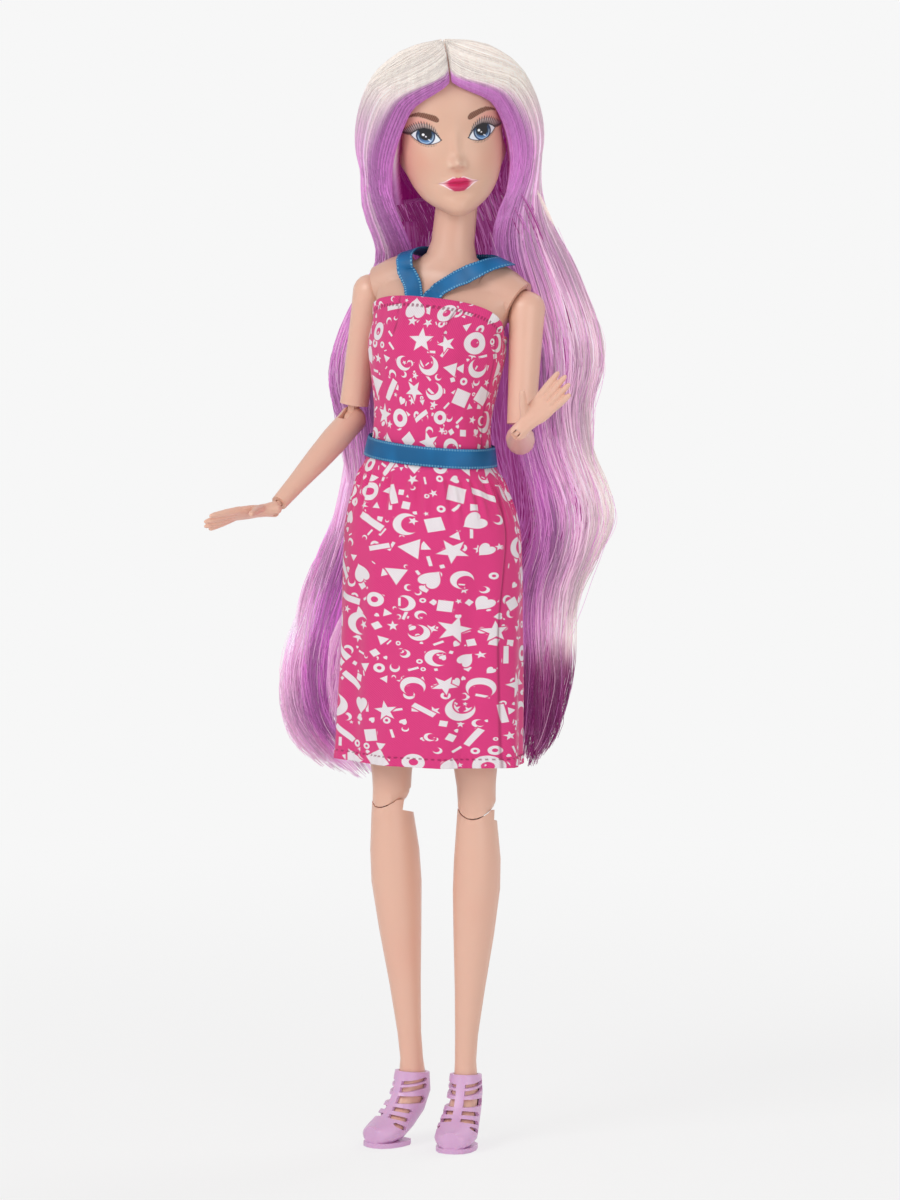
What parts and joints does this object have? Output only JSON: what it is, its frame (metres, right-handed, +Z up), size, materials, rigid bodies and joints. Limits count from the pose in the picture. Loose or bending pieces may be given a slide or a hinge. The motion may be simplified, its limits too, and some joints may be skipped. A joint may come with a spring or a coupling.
{
  "type": "fashion doll",
  "caption": "Jointed fashion doll in a straight knee-length halter dress with a ribbon belt, long wavy hair and openwork toe-up shoes, standing with both forearms raised.",
  "frame": {"origin": "middle of the doll's waist, inside the belt", "axes": "+Z up, the doll faces -Y, +X is the doll's left"},
  "size_m": [0.1055, 0.081, 0.2981],
  "materials": {
    "skin_vinyl": "satin",
    "head_vinyl": "satin, painted face",
    "joint_skin": "satin",
    "pin_steel": "brushed",
    "hair_cream": "glossy synthetic strands",
    "hair_lilac": "glossy synthetic strands",
    "dress_print": "printed twill",
    "ribbon_blue": "satin weave",
    "shoe_lilac": "soft vinyl"
  },
  "bodies": {
    "torso": {"torso_front": "skin_vinyl", "torso_back": "skin_vinyl", "neck_pin": "pin_steel", "dress_bodice": "dress_print", "dress_skirt": "dress_print", "belt_ribbon": "ribbon_blue", "halter_ribbon": "ribbon_blue"},
    "neck_knob": {"neck_knob": "joint_skin"},
    "head": {"head": "head_vinyl", "hair_crown": "hair_cream", "hair_length_left": "hair_lilac", "hair_length_right": "hair_lilac", "hair_length_back": "hair_lilac"},
    "hip_axle": {"hip_axle": "joint_skin"},
    "shoulder_hub_left": {"shoulder_hub_left": "joint_skin"},
    "upper_arm_left": {"upper_arm_left": "skin_vinyl", "shoulder_pin_left": "pin_steel"},
    "elbow_knuckle_left": {"elbow_knuckle_left": "joint_skin", "elbow_pin_left": "pin_steel"},
    "forearm_left": {"forearm_left": "skin_vinyl"},
    "wrist_peg_left": {"wrist_peg_left": "joint_skin", "wrist_pin_left": "pin_steel"},
    "hand_left": {"hand_left": "skin_vinyl"},
    "shoulder_hub_right": {"shoulder_hub_right": "joint_skin"},
    "upper_arm_right": {"upper_arm_right": "skin_vinyl", "shoulder_pin_right": "pin_steel"},
    "elbow_knuckle_right": {"elbow_knuckle_right": "joint_skin", "elbow_pin_right": "pin_steel"},
    "forearm_right": {"forearm_right": "skin_vinyl"},
    "wrist_peg_right": {"wrist_peg_right": "joint_skin", "wrist_pin_right": "pin_steel"},
    "hand_right": {"hand_right": "skin_vinyl"},
    "hip_disc_left": {"hip_disc_left": "joint_skin"},
    "hip_ball_left": {"hip_ball_left": "joint_skin", "hip_pin_left": "pin_steel"},
    "thigh_left": {"thigh_left": "skin_vinyl", "knee_pin_left": "pin_steel"},
    "lower_leg_left": {"lower_leg_left": "skin_vinyl", "shoe_left": "shoe_lilac"},
    "hip_disc_right": {"hip_disc_right": "joint_skin"},
    "hip_ball_right": {"hip_ball_right": "joint_skin", "hip_pin_right": "pin_steel"},
    "thigh_right": {"thigh_right": "skin_vinyl", "knee_pin_right": "pin_steel"},
    "lower_leg_right": {"lower_leg_right": "skin_vinyl", "shoe_right": "shoe_lilac"}
  },
  "joints": [
    {"name": "head_nod", "type": "hinge", "parent": "torso", "child": "neck_knob", "pos_m": [0.00509, 0.00577, 0.06464], "axis": [0.999, 0.0043, 0.0435], "range_deg": [-12, 6]},
    {"name": "head_turn", "type": "hinge", "parent": "neck_knob", "child": "head", "pos_m": [0.00509, 0.00577, 0.06464], "axis": [-0.0429, -0.1048, 0.9936], "range_deg": [-70, 70], "deforming": ["hair_length_left", "hair_length_right", "hair_length_back"]},
    {"name": "shoulder_swing_left", "type": "hinge", "parent": "torso", "child": "shoulder_hub_left", "pos_m": [0.02556, 0.00489, 0.03796], "axis": [-0.8788, 0.0142, 0.4769], "range_deg": [-54, 156]},
    {"name": "shoulder_raise_left", "type": "hinge", "parent": "shoulder_hub_left", "child": "upper_arm_left", "pos_m": [0.02556, 0.00489, 0.03796], "axis": [0.0773, -0.9821, 0.1718], "range_deg": [-2, 71]},
    {"name": "elbow_swivel_left", "type": "hinge", "parent": "upper_arm_left", "child": "elbow_knuckle_left", "pos_m": [0.02606, -0.0011, 0.00348], "axis": [-0.0143, 0.1712, 0.9851], "range_deg": [-60, 74]},
    {"name": "elbow_bend_left", "type": "hinge", "parent": "elbow_knuckle_left", "child": "forearm_left", "pos_m": [0.02606, -0.0011, 0.00348], "axis": [-0.937, -0.3463, 0.0466], "range_deg": [-89, 11]},
    {"name": "wrist_swivel_left", "type": "hinge", "parent": "forearm_left", "child": "wrist_peg_left", "pos_m": [0.03933, -0.03626, 0.00911], "axis": [-0.3493, 0.9252, -0.1481], "range_deg": [-132, 88]},
    {"name": "wrist_bend_left", "type": "hinge", "parent": "wrist_peg_left", "child": "hand_left", "pos_m": [0.03933, -0.03626, 0.00911], "axis": [-0.7018, -0.1536, 0.6956], "range_deg": [-129, 2]},
    {"name": "shoulder_swing_right", "type": "hinge", "parent": "torso", "child": "shoulder_hub_right", "pos_m": [-0.0193, 0.00489, 0.0415], "axis": [-0.9426, -0.0142, -0.3336], "range_deg": [-45, 165]},
    {"name": "shoulder_raise_right", "type": "hinge", "parent": "shoulder_hub_right", "child": "upper_arm_right", "pos_m": [-0.0193, 0.00489, 0.0415], "axis": [-0.0027, 0.9994, -0.0348], "range_deg": [-1, 72]},
    {"name": "elbow_swivel_right", "type": "hinge", "parent": "upper_arm_right", "child": "elbow_knuckle_right", "pos_m": [-0.02448, 0.00367, 0.0069], "axis": [-0.1478, -0.0348, -0.9884], "range_deg": [-36, 77]},
    {"name": "elbow_bend_right", "type": "hinge", "parent": "elbow_knuckle_right", "child": "forearm_right", "pos_m": [-0.02448, 0.00367, 0.0069], "axis": [-0.9643, 0.2272, 0.1362], "range_deg": [-51, 49]},
    {"name": "wrist_swivel_right", "type": "hinge", "parent": "forearm_right", "child": "wrist_peg_right", "pos_m": [-0.0345, -0.0259, -0.01475], "axis": [-0.2638, -0.7783, -0.5698], "range_deg": [-138, 82]},
    {"name": "wrist_bend_right", "type": "hinge", "parent": "wrist_peg_right", "child": "hand_right", "pos_m": [-0.0345, -0.0259, -0.01475], "axis": [-0.6278, 0.5871, -0.5111], "range_deg": [-102, 29]},
    {"name": "hip_sit", "type": "hinge", "parent": "torso", "child": "hip_axle", "pos_m": [-0.00201, 0.00261, -0.02553], "axis": [-0.9969, 0, 0.0785], "range_deg": [0, 80], "deforming": ["dress_skirt"]},
    {"name": "hip_stride_left", "type": "hinge", "parent": "hip_axle", "child": "hip_disc_left", "pos_m": [-0.00201, 0.00261, -0.02553], "axis": [-0.9969, 0, 0.0785], "range_deg": [-8, 8]},
    {"name": "hip_splay_left", "type": "hinge", "parent": "hip_disc_left", "child": "hip_ball_left", "pos_m": [0.00945, 0.00261, -0.02643], "axis": [-0.0014, -0.9998, -0.0174], "range_deg": [0, 6]},
    {"name": "thigh_swivel_left", "type": "hinge", "parent": "hip_ball_left", "child": "thigh_left", "pos_m": [0.00945, 0.00261, -0.02643], "axis": [0.0332, 0.0173, -0.9993], "range_deg": [-35, 35]},
    {"name": "knee_bend_left", "type": "hinge", "parent": "thigh_left", "child": "lower_leg_left", "pos_m": [0.01169, 0.00378, -0.09388], "axis": [0.9922, 0.1199, 0.035], "range_deg": [0, 95]},
    {"name": "hip_stride_right", "type": "hinge", "parent": "hip_axle", "child": "hip_disc_right", "pos_m": [-0.00201, 0.00261, -0.02553], "axis": [-0.9969, 0, 0.0785], "range_deg": [-8, 8]},
    {"name": "hip_splay_right", "type": "hinge", "parent": "hip_disc_right", "child": "hip_ball_right", "pos_m": [-0.01347, 0.00261, -0.02463], "axis": [0.0014, 0.9998, 0.0174], "range_deg": [0, 6]},
    {"name": "thigh_swivel_right", "type": "hinge", "parent": "hip_ball_right", "child": "thigh_right", "pos_m": [-0.01347, 0.00261, -0.02463], "axis": [-0.0087, -0.0174, 0.9998], "range_deg": [-35, 35]},
    {"name": "knee_bend_right", "type": "hinge", "parent": "thigh_right", "child": "lower_leg_right", "pos_m": [-0.01288, 0.00378, -0.09211], "axis": [0.9266, -0.376, 0.0016], "range_deg": [0, 95]}
  ]
}
